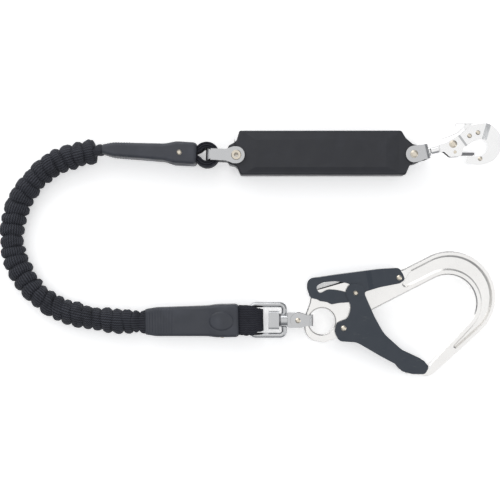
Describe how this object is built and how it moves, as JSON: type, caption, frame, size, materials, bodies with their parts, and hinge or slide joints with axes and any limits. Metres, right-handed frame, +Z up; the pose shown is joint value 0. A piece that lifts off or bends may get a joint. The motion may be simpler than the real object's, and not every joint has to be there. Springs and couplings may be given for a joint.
{
  "type": "shock absorbing lanyard",
  "caption": "Fall-arrest lanyard: gathered elastic webbing leg, energy absorber pack, scaffold hook with squeeze lever and a swivel snap hook.",
  "frame": {"origin": "on the floor under the middle of the rigid parts (all but the gathered webbing leg)", "axes": "+X from the gathered webbing to the hooks, +Y towards the absorber's side, +Z up from the floor"},
  "size_m": [0.625, 0.3153, 0.0429],
  "materials": {
    "bellows_fabric": "gathered tubular webbing with fine ribs",
    "elastic": "woven elastic",
    "sleeve_rubber": "moulded, fine satin",
    "webbing": "woven polyester webbing",
    "pack_webbing": "woven webbing, folded",
    "stitching": "bar-tacked thread",
    "cover_rubber": "moulded PVC cover, satin",
    "forged_aluminium": "satin forged",
    "coated_steel": "dark blue-black coated sheet",
    "plated_steel": "zinc plated",
    "dark_steel": "dark plated",
    "rivet_steel": "warm plated rivets",
    "spring_steel": "spring wire"
  },
  "bodies": {
    "lanyard": {"bellows_webbing": "bellows_fabric", "elastic_core": "elastic", "upper_sleeve": "sleeve_rubber", "lower_sleeve": "sleeve_rubber", "upper_splice": "webbing", "lower_splice": "webbing", "upper_strap_loop": "webbing", "lower_strap_loop": "webbing", "upper_sleeve_rivet": "rivet_steel", "lower_sleeve_rivet": "rivet_steel"},
    "ring": {"swivel_ring": "plated_steel"},
    "stem": {"swivel_stem": "plated_steel", "swivel_nut": "plated_steel", "swivel_washer": "dark_steel"},
    "shackle": {"shackle_strap": "plated_steel", "shackle_rivet": "rivet_steel"},
    "hook": {"hook_body": "forged_aluminium", "gate_rivet": "rivet_steel", "lever_rivet": "rivet_steel", "gate_spring": "spring_steel", "lever_spring": "spring_steel"},
    "gate": {"hook_gate": "coated_steel", "gate_lock_pins": "rivet_steel"},
    "lever": {"hook_lever": "coated_steel"},
    "left_link": {"left_bracket": "plated_steel", "left_bracket_rivet": "rivet_steel"},
    "absorber": {"cover_front_shell": "cover_rubber", "cover_rear_shell": "cover_rubber", "tear_webbing_pack": "pack_webbing", "left_end_loop": "pack_webbing", "right_end_loop": "pack_webbing", "pack_stitching": "stitching"},
    "right_link": {"right_bracket": "plated_steel", "right_bracket_rivet": "rivet_steel"},
    "snap": {"snap_stem": "plated_steel", "snap_hook": "plated_steel", "snap_front_plate": "plated_steel", "snap_rear_plate": "plated_steel", "snap_main_rivet": "rivet_steel", "snap_gate_rivet": "rivet_steel", "snap_nose_rivet": "rivet_steel", "snap_small_rivets": "rivet_steel", "snap_gate_spring": "spring_steel", "thumb_lever_spring": "spring_steel"},
    "snap_keeper": {"snap_gate": "dark_steel"},
    "thumb_lever": {"snap_thumb_lever": "plated_steel"}
  },
  "joints": [
    {"name": "ring_swing", "type": "hinge", "parent": "lanyard", "child": "ring", "pos_m": [-0.066, -0.0876, 0.0159], "axis": [0, 1, 0], "range_deg": [-30, 30]},
    {"name": "swivel_spin", "type": "hinge", "parent": "ring", "child": "stem", "pos_m": [-0.022, -0.0876, 0.0159], "axis": [1, 0, 0], "continuous": true},
    {"name": "shackle_pivot", "type": "hinge", "parent": "stem", "child": "shackle", "pos_m": [-0.005, -0.0876, 0.0159], "axis": [0, 0, 1], "range_deg": [-15, 15]},
    {"name": "hook_swing", "type": "hinge", "parent": "shackle", "child": "hook", "pos_m": [0.025, -0.0888, 0.0159], "axis": [0, 0, 1], "range_deg": [-12, 12]},
    {"name": "gate_open", "type": "hinge", "parent": "hook", "child": "gate", "pos_m": [0.0515, -0.097, 0.0159], "axis": [0, 0, 1], "range_deg": [0, 50], "stiffness_Nm_per_rad": 0.2, "springref_deg": -17.19},
    {"name": "lever_squeeze", "type": "hinge", "parent": "hook", "child": "lever", "pos_m": [0.121, -0.0345, 0.0159], "axis": [0, 0, 1], "range_deg": [0, 6.8]},
    {"name": "left_link_swing", "type": "hinge", "parent": "lanyard", "child": "left_link", "pos_m": [-0.1181, 0.1182, 0.0209], "axis": [0, 0, 1], "range_deg": [-12, 30]},
    {"name": "absorber_swing", "type": "hinge", "parent": "left_link", "child": "absorber", "pos_m": [-0.0815, 0.1171, 0.0209], "axis": [0, 0, 1], "range_deg": [-12, 45]},
    {"name": "right_link_swing", "type": "hinge", "parent": "absorber", "child": "right_link", "pos_m": [0.1375, 0.1181, 0.0209], "axis": [0, 0, 1], "range_deg": [-50, 25]},
    {"name": "snap_swivel", "type": "hinge", "parent": "right_link", "child": "snap", "pos_m": [0.1375, 0.1181, 0.0209], "axis": [0.9763, 0.2164, 0], "continuous": true},
    {"name": "snap_gate_open", "type": "hinge", "parent": "snap", "child": "snap_keeper", "pos_m": [0.19, 0.1216, 0.0209], "axis": [0, 0, 1], "range_deg": [0, 20], "stiffness_Nm_per_rad": 0.05, "springref_deg": -17.19},
    {"name": "thumb_press", "type": "hinge", "parent": "snap", "child": "thumb_lever", "pos_m": [0.2076, 0.1415, 0.0209], "axis": [0, 0, 1], "range_deg": [0, 6.1]}
  ],
  "couplings": [
    {"joint": "lever_squeeze", "follows": "gate_open", "ratio": 0.135},
    {"joint": "thumb_press", "follows": "snap_gate_open", "ratio": 0.3}
  ]
}
